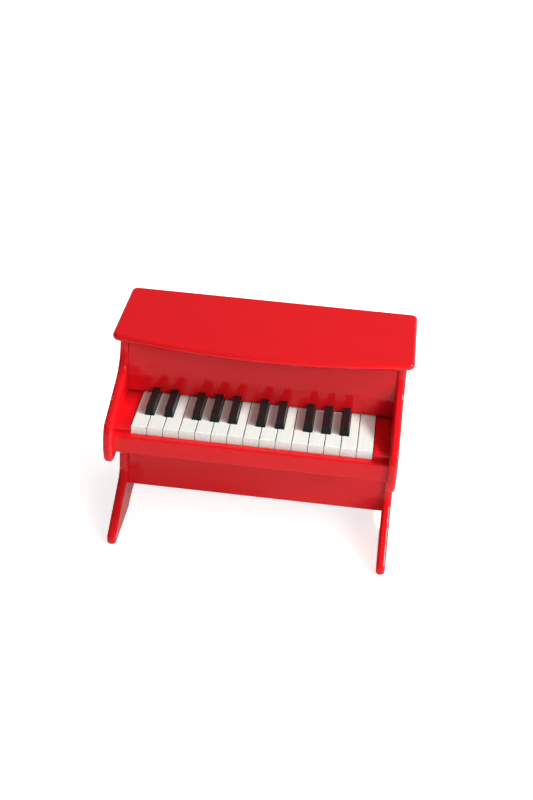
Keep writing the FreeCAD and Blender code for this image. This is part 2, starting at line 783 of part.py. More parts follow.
def hammer(name, x):
    """A hammer on the rear end of a lever: a base, a springy stem and a round head."""
    left = f"({x} - hammer_width / 2)"
    base = box(f"{name}_base", ("hammer_width", "hammer_base_length", "hammer_base_height"),
               (left, back(f"({LEVER_REAR} - hammer_base_length)"), "white_top_height"))
    stem = box(f"{name}_stem", ("hammer_width", "hammer_reach", "hammer_stem_thickness"),
               (left, back(LEVER_REAR), f"({HAMMER_HEIGHT} - hammer_stem_thickness / 2)"))
    head = rod(f"{name}_head", "hammer_radius", "hammer_width", (left, back(HAMMER), HAMMER_HEIGHT), ALONG_X)
    return fuse(f"{name}_hammer", [base, stem, head])


def lever_spots(middle):
    """The corners of a lever's plan from its right root round its rear end to its left root."""
    right = f"({middle} + lever_width / 2)"
    left = f"({middle} - lever_width / 2)"
    return [(right, NECK_REAR), (right, LEVER_REAR), (left, LEVER_REAR), (left, NECK_REAR)]


def pivot_bore(body, name):
    """The hole for the pivot wire, with running clearance."""
    sketch = sketch_on(body, f"{name}_bore_outline", "YZ_Plane")
    circle(sketch, (PIVOT, "(key_depth / 2)"), "(pivot_wire_radius + pivot_clearance)")
    bore(body, f"{name}_bore", sketch, "(2 * white_pitch)")


def white_key(index):
    """A white key: a wide head, a neck notched for its black neighbours and a narrow lever."""
    name = f"white_key_{index + 1:02d}"
    body = new_body(f"{name}_body")
    left, right = neck_sides(index)
    head = [(f"(-{WHITE_HALF})", "0"), (WHITE_HALF, "0")]
    if right != WHITE_HALF:
        head += [(WHITE_HALF, "white_head_length"), (right, "white_head_length")]
    neck = [(right, NECK_REAR), *lever_spots(f"(({left} + {right}) / 2)"), (left, NECK_REAR)]
    if left != f"(-{WHITE_HALF})":
        neck += [(left, "white_head_length"), (f"(-{WHITE_HALF})", "white_head_length")]
    sketch = outline(sketch_on(body, f"{name}_outline", "XY_Plane"), head + neck)
    pad(body, f"{name}_pad", sketch, "key_depth")
    pivot_bore(body, name)
    top = number("key_depth")
    half = number(WHITE_HALF)

    def on_head_rim(edge):
        ends = [vertex.Point for vertex in edge.Vertexes]
        on_side = any(all(same(end.x, x) for end in ends) for x in (half, -half))
        on_front = all(same(end.y, 0) for end in ends)
        return all(same(end.z, top) for end in ends) and (on_side or on_front)

    round_edges(body, f"{name}_rim", "white_edge_radius", on_head_rim)
    x = white_centre(index)
    place(body, x, KEY_FRONT, KEY_BOTTOM)
    striker = hammer(name, f"({x} + ({left} + {right}) / 2)")
    node(compound(f"{name}_set", [body, striker]), name)


def black_key(order, index):
    """A black key: a lever at the level of the white keys with a tapered cap on its visible part."""
    name = f"black_key_{order + 1:02d}"
    body = new_body(f"{name}_body")
    half = "(black_width / 2)"
    front = [(f"(-{half})", NECK_REAR), (f"(-{half})", BLACK_FRONT), (half, BLACK_FRONT), (half, NECK_REAR)]
    sketch = outline(sketch_on(body, f"{name}_outline", "XY_Plane"), front + lever_spots("0"))
    pad(body, f"{name}_pad", sketch, "key_depth")
    cap_rear = f"({UPPER_PANEL_FOOT} - black_panel_gap)"
    sections = []
    for level, reach, start in (
        ("key_depth", half, BLACK_FRONT),
        ("(key_depth + black_rise)", "(black_top_width / 2)", f"({BLACK_FRONT} + black_front_slope)"),
    ):
        section = sketch_on(body, f"{name}_section_{len(sections)}", "XY_Plane", level)
        sections.append(outline(section, [
            (f"(-{reach})", start), (reach, start), (reach, cap_rear), (f"(-{reach})", cap_rear),
        ]))
    cap = body.newObject("PartDesign::AdditiveLoft", f"{name}_cap")
    cap.Profile = sections[0]
    cap.Sections = sections[1:]
    cap.Ruled = True
    doc.recompute()
    pivot_bore(body, name)
    crown = number("key_depth + black_rise")
    round_edges(body, f"{name}_rim", "black_edge_radius",
                lambda edge: all(same(vertex.Z, crown) for vertex in edge.Vertexes))
    x = black_centre(index)
    place(body, x, KEY_FRONT, KEY_BOTTOM)
    node(compound(f"{name}_set", [body, hammer(name, x)]), name)


def keyboard():
    """All the keys with their hammers."""
    for index in range(WHITE_COUNT):
        white_key(index)
    blacks = [index for index in range(WHITE_COUNT) if has_black_on_right(index)]
    for order, index in enumerate(blacks):
        black_key(order, index)


def build():
    """Makes every sub-part."""
    side_panel("left_side_panel", LEFT)
    side_panel("right_side_panel", RIGHT)
    top_lid()
    lid_dowels()
    upper_front_panel()
    knee_board()
    key_bed()
    key_slip()
    key_block("left_key_block", LEFT)
    key_block("right_key_block", RIGHT)
    back_panel()
    node(pivot_wire("key_pivot_wire_bar", "pivot_wire_radius"), "key_pivot_wire")
    balance_comb()
    felt_and_rail()
    key_return_spring()
    tone_rods()
    keyboard()
    doc.recompute()


def check():
    """Stops the build if any object failed or any sub-part is empty or broken."""
    for item in doc.Objects:
        if {"Invalid", "Error"} & set(item.State):
            raise RuntimeError(f"{item.Name} failed: {item.State}")
    for item in nodes:
        if item.Shape.isNull() or not item.Shape.isValid() or not item.Shape.Solids:
            raise RuntimeError(f"{item.Label} has no valid solid")


def export():
    """Writes each sub-part under its own name."""
    os.makedirs("parts", exist_ok=True)
    for item in nodes:
        item.Shape.exportStep(f"parts/{item.Label}.step")
    print(f"{len(nodes)} sub-parts written")


build()
check()
export()
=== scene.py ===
"""The looks of a toy upright piano: red lacquer, painted keys, screws, felts, floor, light and camera.

Metres. +X is to the player's right, +Y to the back and +Z up, with the origin on the floor.
"""
import json
import math

import bmesh
import bpy
from mathutils import Matrix, Vector, noise

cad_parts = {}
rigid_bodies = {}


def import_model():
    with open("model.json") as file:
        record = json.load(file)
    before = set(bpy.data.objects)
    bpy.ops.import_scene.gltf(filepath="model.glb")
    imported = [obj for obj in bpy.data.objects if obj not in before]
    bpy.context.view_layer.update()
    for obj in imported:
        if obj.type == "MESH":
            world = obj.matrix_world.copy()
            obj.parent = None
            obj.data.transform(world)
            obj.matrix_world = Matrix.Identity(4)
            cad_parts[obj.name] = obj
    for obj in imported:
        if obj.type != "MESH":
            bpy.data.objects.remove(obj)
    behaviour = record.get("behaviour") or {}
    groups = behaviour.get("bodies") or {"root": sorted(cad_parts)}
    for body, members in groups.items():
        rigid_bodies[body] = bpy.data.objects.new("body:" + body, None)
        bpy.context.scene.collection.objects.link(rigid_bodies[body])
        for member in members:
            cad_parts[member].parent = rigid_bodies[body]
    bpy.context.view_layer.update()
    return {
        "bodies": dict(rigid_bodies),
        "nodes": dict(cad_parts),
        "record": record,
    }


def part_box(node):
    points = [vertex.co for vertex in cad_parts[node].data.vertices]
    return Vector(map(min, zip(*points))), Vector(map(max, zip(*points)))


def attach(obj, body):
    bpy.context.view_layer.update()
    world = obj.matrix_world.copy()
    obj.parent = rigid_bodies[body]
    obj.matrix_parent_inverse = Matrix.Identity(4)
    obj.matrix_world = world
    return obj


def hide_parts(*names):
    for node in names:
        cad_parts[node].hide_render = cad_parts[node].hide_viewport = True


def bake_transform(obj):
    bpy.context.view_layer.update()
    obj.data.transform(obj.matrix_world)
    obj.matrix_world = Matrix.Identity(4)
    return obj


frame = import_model()
nodes = frame["nodes"]

# The camera, as fitted to the corners of the keys and the lid.
CAMERA_PLACE = (0.153, -1.622, 1.213)
CAMERA_YAW_DEG = 5.10
CAMERA_TILT_DEG = 31.79
CAMERA_ROLL_DEG = 3.36
CAMERA_LENS_MM = 60.75
CAMERA_SENSOR_MM = 36.0

# Colours, as linear light.
LACQUER_RED = (0.74, 0.008, 0.013, 1)
LACQUER_DEEP_RED = (0.68, 0.007, 0.011, 1)
# Pale spots on the side panels' outer edges: chips of wear, and painted highlights there too.
CHIP_AND_HIGHLIGHT_COLOUR = (0.80, 0.52, 0.44, 1)
KEY_WHITE = (0.83, 0.90, 0.84, 1)
KEY_GREY = (0.75, 0.81, 0.75, 1)
# The key's sides: dark brown, a painted shade for the gaps between keys.
KEY_SIDE_SHADE = (0.16, 0.12, 0.08, 1)
KEY_BLACK = (0.012, 0.012, 0.012, 1)
KEY_SOFT_BLACK = (0.022, 0.021, 0.020, 1)
WOOD_PALE = (0.62, 0.44, 0.26, 1)
WOOD_DARK = (0.46, 0.29, 0.15, 1)
HAMMER_PALE = (0.70, 0.66, 0.56, 1)
HAMMER_DARK = (0.60, 0.55, 0.45, 1)
HARDBOARD_PALE = (0.26, 0.155, 0.085, 1)
HARDBOARD_DARK = (0.17, 0.095, 0.05, 1)
STEEL_PALE = (0.62, 0.62, 0.63, 1)
STEEL_DARK = (0.48, 0.48, 0.50, 1)
CAST_PALE = (0.10, 0.10, 0.105, 1)
CAST_DARK = (0.05, 0.05, 0.054, 1)
FELT_PALE = (0.30, 0.03, 0.035, 1)
FELT_DARK = (0.19, 0.015, 0.02, 1)
FLOOR_WHITE = (0.85, 0.85, 0.85, 1)
WHITE_LIGHT = (1, 1, 1, 1)

# Noise patterns: waves to the metre, the share of them along X, Y and Z, how many finer layers of noise
# are added and how rough those make it.
LACQUER_DRIFT = dict(waves=9)
LACQUER_PEEL = dict(waves=420, detail=2)
LACQUER_SWELL = dict(waves=55, detail=1)
CHIP_AND_HIGHLIGHT_SPOTS = dict(waves=210, detail=4, roughness=0.6)
WOOD_GRAIN = dict(waves=60, shares=(0.06, 1, 1), detail=6, roughness=0.65)
BOARD_FIBRES = dict(waves=700, detail=5, roughness=0.7)
BOARD_CLOUDS = dict(waves=30, detail=2)
STEEL_STREAKS = dict(waves=900, shares=(1, 0.03, 1), detail=3)
CAST_GRIT = dict(waves=500, detail=4, roughness=0.7)
FELT_FIBRES = dict(waves=1500, detail=6, roughness=0.75)
PAINT_GRAIN = dict(waves=260, shares=(1, 0.05, 1), detail=4)
LEVER_GRAIN = dict(waves=120, shares=(1, 0.06, 1), detail=6, roughness=0.65)
HAMMER_MOTTLE = dict(waves=600, detail=2)

# The values of a pattern between which one colour turns into another.
CHIP_AND_HIGHLIGHT_TURN = (0.64, 0.67)
WOOD_TURN = (0.35, 0.65)
PAINT_TURN = (0.45, 0.8)

# How far the patterns stand out from the surface, or how deep they go.
LACQUER_PEEL_HEIGHT = 0.00004
LACQUER_SWELL_HEIGHT = 0.00015
CHIP_DEPTH = 0.0003
WOOD_GRAIN_HEIGHT = 0.00008
BOARD_FIBRE_HEIGHT = 0.00006
CAST_GRIT_HEIGHT = 0.00015
FELT_FIBRE_HEIGHT = 0.0002
PAINT_GRAIN_HEIGHT = 0.00002

# How rough, glossy and metallic the surfaces are. The steel is rougher where its streaks are pale.
LACQUER_ROUGHNESS = 0.4
LACQUER_SPECULAR = 0.0
COAT_WEIGHT = 1.0
COAT_ROUGHNESS = 0.06
COAT_IOR = 1.33
CHIP_ROUGHNESS = 0.8
WOOD_ROUGHNESS = 0.6
BOARD_ROUGHNESS = 0.55
STEEL_METALLIC = 1.0
STEEL_ROUGHNESS = (0.2727, 0.5)
CAST_METALLIC = 0.6
CAST_ROUGHNESS = 0.6
FELT_ROUGHNESS = 0.95
FELT_SHEEN = 0.5
WHITE_KEY_ROUGHNESS = 0.32
WHITE_KEY_SPECULAR = 0.5
BLACK_KEY_ROUGHNESS = 0.36
BLACK_KEY_SPECULAR = 0.18
FLOOR_ROUGHNESS = 0.9
FLOOR_SPECULAR = 0.0

# The band of a side panel's rounded outer edge that gets pale chips of wear and painted highlights, inwards
# from its outer face.
CHIP_AND_HIGHLIGHT_BAND = (0.0006, 0.0040)

# The paint of a key ends this far behind the foremost edge of the upper panel. A hammer's colour starts
# before its front and above its lever.
PAINT_REACH = 0.011
HAMMER_LEAD = 0.006
HAMMER_CLEARANCE = 0.0001
MASK_SOFTNESS = 0.0004
# How far a face of a key turns sideways where the dark painted shade of the gaps between keys starts.
SIDE_SHADE_TURN = (0.75, 0.95)

# Screws: the shank's share of the head's radius, the share of the length that tapers, the thread, the
# steps of the round forms, and the cross recess with its cutter.
SHANK_SHARE = 0.5
SCREW_TIP_SHARE = 0.25
THREAD_PITCH = 0.0012
THREAD_DEPTH = 0.00035
THREAD_ROOT_SHARE = 0.5
SCREW_SIDES = 28
DOME_STEPS = 6
RECESS_ARM_SHARE = 0.55
RECESS_WIDTH_SHARE = 0.2
RECESS_DEPTH_SHARE = 0.65
RECESS_FLOOR_SHARE = 0.5
CUTTER_HEIGHT_SHARE = 2
# Each screw is turned on from the one before by this angle.
GOLDEN_ANGLE = math.radians(137.5)

# Felt strips: their soft edges, their uneven surface with its seed, and the dents where the keys land.
FELT_EDGE = 0.0011
FELT_EDGE_STEPS = 4
FELT_STEP = 0.002
FELT_UNEVENNESS = 0.00012
FELT_WAVES = 260
FELT_SEED = 25
DENT_DEPTH = 0.0003
DENT_HALF_WIDTH = 0.006

# The return spring: its sheet, the length and width of a finger, and the steps in which a finger bends.
SPRING_THICKNESS = 0.0008
SPRING_FINGER_RUN = 0.026
SPRING_FINGER_WIDTH = 0.005
SPRING_STEPS = 12

# Edges that turn by more than this angle stay sharp, and vertices closer than this distance are one.
SHARP_ANGLE = math.radians(35)
MERGE_DISTANCE = 0.00001

# The light from all round is weak on the left and stronger on the right.
WORLD_LEFT_STRENGTH = 0.05
WORLD_RIGHT_STRENGTH = 0.28
# What the horizon shows beyond the floor, and the backdrop that shows in reflections: its strength, and
# the heights and turns towards the back of a direction at which it fades.
WORLD_SEEN_STRENGTH = 0.86
BACKDROP_STRENGTH = 1.0
BACKDROP_RISE = (0.10, 0.42)
BACKDROP_TURN = (0.0, 0.5)

# What the floor adds to its own light to look white, and what it adds where it is mirrored.
FLOOR_GLOW_STRENGTH = 0.72
FLOOR_MIRRORED_STRENGTH = 0.12
FLOOR_REACH = 30.0

# Soft boxes: place, point aimed at, width, height and power in watts.
SOFT_BOXES = {
    "key_light": ((4.85, -0.25, 3.68), (0.0, 0.0, 0.15), 1.7, 1.2, 410.0),
    "side_fill": ((3.15, -2.84, 2.80), (0.0, 0.0, 0.15), 2.0, 1.6, 78.0),
    "low_fill": ((1.97, -3.41, 0.80), (0.0, 0.0, 0.10), 2.0, 1.0, 24.0),
    "top_fill": ((0.00, -2.00, 3.60), (0.0, 0.0, 0.15), 2.0, 2.0, 16.0),
    "back_fill": ((1.10, 1.90, 0.65), (0.0, 0.0, 0.20), 2.0, 1.2, 24.0),
}
# The one box that shows in reflections.
MIRRORED_BOX = "key_light"


class Graph:
    """A node tree under construction."""

    def __init__(self, tree):
        self.tree = tree

    def add(self, kind, inputs=None, **settings):
        """A new node, with its settings and its input values or links."""
        item = self.tree.nodes.new(kind)
        for name, value in settings.items():
            setattr(item, name, value)
        for name, value in (inputs or {}).items():
            self.feed(item.inputs[name], value)
        return item

    def feed(self, socket, value):
        """Sets an input, or links it when the value is another node's output."""
        if isinstance(value, bpy.types.NodeSocket):
            self.tree.links.new(value, socket)
        else:
            socket.default_value = value

    def split(self, vector):
        """The X, Y and Z of a vector."""
        return self.add("ShaderNodeSeparateXYZ", {"Vector": vector}).outputs

    def ramp(self, value, low, high, first=0.0, last=1.0):
        """The first value at low, the last one at high and even between."""
        inputs = {"Value": value, "From Min": low, "From Max": high, "To Min": first, "To Max": last}
        return self.add("ShaderNodeMapRange", inputs).outputs["Result"]

    def math(self, operation, *values):
        """One or two values put through an operation such as MULTIPLY."""
        return self.add("ShaderNodeMath", dict(enumerate(values)), operation=operation).outputs["Value"]


class Shader(Graph):
    """A node material under construction, with one Principled shader."""

    def __init__(self, name):
        self.material = bpy.data.materials.new(name)
        self.material.use_nodes = True
        super().__init__(self.material.node_tree)
        self.surface = self.tree.nodes["Principled BSDF"]

    def place(self, shares=(1, 1, 1)):
        """The point on the piece at rest, with each coordinate times its share."""
        point = self.add("ShaderNodeTexCoord").outputs["Object"]
        return self.add("ShaderNodeMapping", {"Vector": point, "Scale": shares}).outputs["Vector"]

    def axis(self, name):
        """One coordinate of the point on the piece at rest, in metres."""
        return self.split(self.place())[name]

    def noise(self, waves, shares=(1, 1, 1), detail=3.0, roughness=0.5):
        """A noise pattern from 0 to 1."""
        inputs = {"Vector": self.place(shares), "Scale": waves, "Detail": detail, "Roughness": roughness}
        return self.add("ShaderNodeTexNoise", inputs).outputs["Fac"]

    def beyond(self, name, edge):
        """One where a coordinate is past an edge and zero before it."""
        return self.ramp(self.axis(name), edge - MASK_SOFTNESS, edge + MASK_SOFTNESS)

    def mix(self, share, first, second):
        """A colour between two."""
        item = self.add("ShaderNodeMix", data_type="RGBA")
        self.feed(item.inputs["Factor"], share)
        self.feed(item.inputs["A"], first)
        self.feed(item.inputs["B"], second)
        return item.outputs["Result"]

    def relief(self, *layers):
        """A surface relief from patterns and their heights in metres."""
        total = None
        for pattern, height in layers:
            layer = self.math("MULTIPLY", pattern, height)
            total = layer if total is None else self.math("ADD", total, layer)
        bump = self.add("ShaderNodeBump", {"Height": total, "Distance": 1.0, "Strength": 1.0})
        self.feed(self.surface.inputs["Normal"], bump.outputs["Normal"])

    def finish(self, **values):
        """Sets inputs of the shader by name, with _ for a space, and gives the material."""
        for name, value in values.items():
            self.feed(self.surface.inputs[name.replace("_", " ")], value)
        return self.material


def lacquer_parts(shader):
    """The lacquer's colour with a slow drift, and the layers of its relief."""
    colour = shader.mix(shader.noise(**LACQUER_DRIFT), LACQUER_DEEP_RED, LACQUER_RED)
    peel = shader.noise(**LACQUER_PEEL)
    swell = shader.noise(**LACQUER_SWELL)
    return colour, [(peel, LACQUER_PEEL_HEIGHT), (swell, LACQUER_SWELL_HEIGHT)]


def lacquer_finish(shader, colour, roughness):
    """A clear gloss coat over that colour."""
    return shader.finish(Base_Color=colour, Roughness=roughness, Specular_IOR_Level=LACQUER_SPECULAR,
                         Coat_Weight=COAT_WEIGHT, Coat_Roughness=COAT_ROUGHNESS, Coat_IOR=COAT_IOR)


def red_lacquer():
    """Thick gloss lacquer with a slow swell and a fine orange peel."""
    shader = Shader("red_lacquer")
    colour, layers = lacquer_parts(shader)
    shader.relief(*layers)
    return lacquer_finish(shader, colour, LACQUER_ROUGHNESS)


def chipped_and_highlit_lacquer():
    """The same lacquer with small pale spots along the side panels' rounded outer edges: chips of wear that
    are also painted highlights.
    """
    shader = Shader("chipped_and_highlit_lacquer")
    colour, layers = lacquer_parts(shader)
    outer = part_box("right_side_panel")[1].x
    reach = shader.math("ABSOLUTE", shader.axis("X"))
    near, far = CHIP_AND_HIGHLIGHT_BAND
    inside = shader.ramp(reach, outer - near, outer - near - MASK_SOFTNESS)
    outside = shader.ramp(reach, outer - far, outer - far + MASK_SOFTNESS)
    # The pale spots on the rounded outer edge are chips of wear and painted highlights.
    spots = shader.ramp(shader.noise(**CHIP_AND_HIGHLIGHT_SPOTS), *CHIP_AND_HIGHLIGHT_TURN)
    chips_and_highlights = shader.math("MULTIPLY", shader.math("MULTIPLY", inside, outside), spots)
    shader.relief(*layers, (chips_and_highlights, -CHIP_DEPTH))
    roughness = shader.ramp(chips_and_highlights, 0.0, 1.0, LACQUER_ROUGHNESS, CHIP_ROUGHNESS)
    return lacquer_finish(shader, shader.mix(chips_and_highlights, colour, CHIP_AND_HIGHLIGHT_COLOUR), roughness)


def wood_colour(shader, grain):
    """Pale wood with that grain."""
    return shader.mix(shader.ramp(grain, *WOOD_TURN), WOOD_DARK, WOOD_PALE)


def bare_wood():
    """Sanded pale wood without a finish, with its grain along X."""
    shader = Shader("bare_wood")
    grain = shader.noise(**WOOD_GRAIN)
    shader.relief((grain, WOOD_GRAIN_HEIGHT))
    return shader.finish(Base_Color=wood_colour(shader, grain), Roughness=WOOD_ROUGHNESS)


def hardboard():
    """Pressed brown fibre board."""
    shader = Shader("hardboard")
    fibres = shader.noise(**BOARD_FIBRES)
    clouds = shader.noise(**BOARD_CLOUDS)
    colour = shader.mix(shader.math("MULTIPLY", fibres, clouds), HARDBOARD_DARK, HARDBOARD_PALE)
    shader.relief((fibres, BOARD_FIBRE_HEIGHT))
    return shader.finish(Base_Color=colour, Roughness=BOARD_ROUGHNESS)


def steel():
    """Drawn steel with fine streaks along Y."""
    shader = Shader("steel")
    streaks = shader.noise(**STEEL_STREAKS)
    colour = shader.mix(streaks, STEEL_DARK, STEEL_PALE)
    roughness = shader.ramp(streaks, 0.0, 1.0, *STEEL_ROUGHNESS)
    return shader.finish(Base_Color=colour, Metallic=STEEL_METALLIC, Roughness=roughness)


def cast_block():
    """A rough dark casting."""
    shader = Shader("cast_block")
    grit = shader.noise(**CAST_GRIT)
    shader.relief((grit, CAST_GRIT_HEIGHT))
    colour = shader.mix(grit, CAST_DARK, CAST_PALE)
    return shader.finish(Base_Color=colour, Metallic=CAST_METALLIC, Roughness=CAST_ROUGHNESS)


def felt():
    """Pressed wool with short fibres."""
    shader = Shader("felt")
    fibres = shader.noise(**FELT_FIBRES)
    shader.relief((fibres, FELT_FIBRE_HEIGHT))
    colour = shader.mix(fibres, FELT_DARK, FELT_PALE)
    return shader.finish(Base_Color=colour, Roughness=FELT_ROUGHNESS, Sheen_Weight=FELT_SHEEN)


def painted_key(name, plain, grained, side, roughness, specular):
    """Grained paint where a key shows, painted shade on its sides for the gaps, bare wood behind and a pale
    hammer.
    """
    shader = Shader(name)
    grain = shader.noise(**PAINT_GRAIN)
    paint = shader.mix(shader.ramp(grain, *PAINT_TURN), plain, grained)
    wood = wood_colour(shader, shader.noise(**LEVER_GRAIN))
    mottled = shader.mix(shader.noise(**HAMMER_MOTTLE), HAMMER_DARK, HAMMER_PALE)
    # The sides of a key get a painted shade that darkens the gaps between keys.
    normal = shader.add("ShaderNodeTexCoord").outputs["Normal"]
    across = shader.math("ABSOLUTE", shader.split(normal)["X"])
    paint = shader.mix(shader.ramp(across, *SIDE_SHADE_TURN), paint, side)
    lever, hammer = lever_and_hammer("white_key_01")
    behind = shader.beyond("Y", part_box("upper_front_panel")[0].y + PAINT_REACH)
    above = shader.beyond("Z", lever[1].z + HAMMER_CLEARANCE)
    on_top = shader.math("MULTIPLY", shader.beyond("Y", hammer[0].y - HAMMER_LEAD), above)
    colour = shader.mix(on_top, shader.mix(behind, paint, wood), mottled)
    shader.relief((grain, PAINT_GRAIN_HEIGHT))
    return shader.finish(Base_Color=colour, Roughness=roughness, Specular_IOR_Level=specular)


def dress(finishes):
    """Gives each CAD node the finish of its slot in the record."""
    for part in frame["record"]["subparts"]:
        piece = nodes[part["node"]]
        piece.data.materials.clear()
        piece.data.materials.append(finishes[part["material_slot"]])


def new_piece(name, shape, material):
    """An object from a bmesh, smooth but for its sharp edges."""
    bmesh.ops.recalc_face_normals(shape, faces=shape.faces)
    mesh = bpy.data.meshes.new(name)
    shape.to_mesh(mesh)
    shape.free()
    mesh.shade_smooth()
    mesh.set_sharp_from_angle(angle=SHARP_ANGLE)
    mesh.materials.append(material)
    item = bpy.data.objects.new(name, mesh)
    bpy.context.scene.collection.objects.link(item)
    return item


def solids(node):
    """The lowest and the highest corner of each solid in a CAD node, from left to right."""
    shape = bmesh.new()
    shape.from_mesh(nodes[node].data)
    bmesh.ops.remove_doubles(shape, verts=shape.verts, dist=MERGE_DISTANCE)
    waiting = set(shape.verts)
    boxes = []
    while waiting:
        found = [waiting.pop()]
        for vertex in found:
            near = {edge.other_vert(vertex) for edge in vertex.link_edges} & waiting
            waiting -= near
            found.extend(near)
        axes = list(zip(*(vertex.co for vertex in found)))
        low = Vector([min(values) for values in axes])
        high = Vector([max(values) for values in axes])
        boxes.append((low, high))
    shape.free()
    return sorted(boxes, key=lambda corners: tuple(corners[0]))


def lever_and_hammer(key):
    """The corners of a key's two solids: the key with its lever, and the hammer at its rear end."""
    return sorted(solids(key), key=lambda corners: corners[1].y)


def screw_profile(head_radius, head_height, radius, length):
    """Radius and height along a screw, from its point over the thread and the rim to the top of its dome."""
    spots = [(0.0, -length)]
    for turn in range(int(length / THREAD_PITCH)):
        along = (turn + 0.5) * THREAD_PITCH
        crest = radius * min(1.0, along / (SCREW_TIP_SHARE * length))
        root = max(crest - THREAD_DEPTH, crest * THREAD_ROOT_SHARE)
        spots.append((crest, along - length))
        spots.append((root, along - length + THREAD_PITCH / 2))
    spots.append((radius, 0.0))
    for step in range(DOME_STEPS):
        turn = step / DOME_STEPS * math.pi / 2
        spots.append((head_radius * math.cos(turn), head_height * math.sin(turn)))
    spots.append((0.0, head_height))
    return spots


def turned(profile):
    """A closed bmesh turned about Z from a profile that starts and ends on the axis."""
    shape = bmesh.new()
    rings = []
    for radius, height in profile:
        ring = []
        for side in range(SCREW_SIDES if radius else 1):
            angle = 2 * math.pi * side / SCREW_SIDES
            ring.append(shape.verts.new((radius * math.cos(angle), radius * math.sin(angle), height)))
        rings.append(ring)
    for lower, upper in zip(rings, rings[1:]):
        for side in range(SCREW_SIDES):
            ways = ((lower, side), (lower, side + 1), (upper, side + 1), (upper, side))
            corners = [ring[spot % len(ring)] for ring, spot in ways]
            shape.faces.new(list(dict.fromkeys(corners)))
    return shape


def cross_cutter(head_radius, head_height):
    """Two crossed blades that narrow downwards, for the recess in a screw's head."""
    arm = RECESS_ARM_SHARE * head_radius
    half = RECESS_WIDTH_SHARE * head_radius
    floor_height = (1 - RECESS_DEPTH_SHARE) * head_height
    plan = [(arm, -half), (arm, half), (half, half)]
    quarters = [Matrix.Rotation(turn * math.pi / 2, 2) for turn in range(4)]
    outline = [quarter @ Vector(spot) for quarter in quarters for spot in plan]
    shape = bmesh.new()
    top = [shape.verts.new((*spot, CUTTER_HEIGHT_SHARE * head_height)) for spot in outline]
    bottom = [shape.verts.new((*(spot * RECESS_FLOOR_SHARE), floor_height)) for spot in outline]
    shape.faces.new(top)
    shape.faces.new(list(reversed(bottom)))
    for i in range(len(outline)):
        shape.faces.new([top[i - 1], bottom[i - 1], bottom[i], top[i]])
    return shape


def screw_mesh(head_radius, head_height, radius, length, material):
    """A screw along Z with its seat at zero and a cross recess in its domed head."""
    profile = screw_profile(head_radius, head_height, radius, length)
    blank = new_piece("screw_blank", turned(profile), material)
    cutter = new_piece("screw_cutter", cross_cutter(head_radius, head_height), material)
    cut = blank.modifiers.new("recess", "BOOLEAN")
    cut.object = cutter
    cut.solver = "EXACT"
    mesh = bpy.data.meshes.new_from_object(blank.evaluated_get(bpy.context.evaluated_depsgraph_get()))
    for item in (blank, cutter):
        bpy.data.objects.remove(item)
    return mesh


def screw_set(name, node, material):
    """Domed screws in the place of a CAD node's plain ones, driven forwards through the back panel."""
    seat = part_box("back_panel")[1].y
    shape = bmesh.new()
    for index, (low, high) in enumerate(solids(node)):
        head_radius = (high.x - low.x) / 2
        mesh = screw_mesh(head_radius, high.y - seat, head_radius * SHANK_SHARE, seat - low.y, material)
        place = Matrix.Translation(((low.x + high.x) / 2, seat, (low.z + high.z) / 2))
        facing = Matrix.Rotation(-math.pi / 2, 4, "X") @ Matrix.Rotation(index * GOLDEN_ANGLE, 4, "Z")
        mesh.transform(place @ facing)
        shape.from_mesh(mesh)
        bpy.data.meshes.remove(mesh)
    piece = new_piece(name, shape, material)
    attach(piece, "case")
    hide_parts(node)


def bar(rings):
    """A closed bmesh through rings of corners, one after the other."""
    shape = bmesh.new()
    rows = [[shape.verts.new(corner) for corner in ring] for ring in rings]
    for before, after in zip(rows, rows[1:]):
        for i in range(len(before)):
            shape.faces.new([before[i - 1], before[i], after[i], after[i - 1]])
    shape.faces.new(rows[0])
    shape.faces.new(list(reversed(rows[-1])))
    return shape


def felt_section(low, high):
    """The outline of a felt strip across its length, with round edges."""
    edge = min(FELT_EDGE, (high.z - low.z) / 2)
    middles = [(high.y - edge, high.z - edge), (low.y + edge, high.z - edge),
               (low.y + edge, low.z + edge), (high.y - edge, low.z + edge)]
    spots = []
    for index, (y, z) in enumerate(middles):
        for step in range(FELT_EDGE_STEPS + 1):
            turn = (index + step / FELT_EDGE_STEPS) * math.pi / 2
            spots.append((y + edge * math.cos(turn), z + edge * math.sin(turn)))
    return spots


def felt_strip(name, node, landings, material):
    """A felt strip in the space of its CAD solid, a little uneven, with a dent where each key lands."""
    noise.seed_set(FELT_SEED)
    margin = Vector((FELT_UNEVENNESS, FELT_UNEVENNESS, FELT_UNEVENNESS))
    low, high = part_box(node)
    low, high = low + margin, high - margin
    section = felt_section(low, high)
    count = round((high.x - low.x) / FELT_STEP)
    rings = []
    for index in range(count + 1):
        x = low.x + (high.x - low.x) * index / count
        dent = DENT_DEPTH * max(max(0.0, 1 - ((x - spot) / DENT_HALF_WIDTH) ** 2) for spot in landings)
        ring = []
        for y, z in section:
            place = Vector((x, y, z - dent * (z - low.z) / (high.z - low.z)))
            ring.append(place + FELT_UNEVENNESS * noise.noise_vector(place * FELT_WAVES))
        rings.append(ring)
    piece = new_piece(name, bar(rings), material)
    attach(piece, "case")
    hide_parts(node)


def sheet_bar(left, right, stations):
    """A bar of the spring's sheet between two X values, with the height of its top at each Y."""
    rings = []
    for y, top in stations:
        bottom = top - SPRING_THICKNESS
        rings.append([(left, y, bottom), (right, y, bottom), (right, y, top), (left, y, top)])
    return bar(rings)


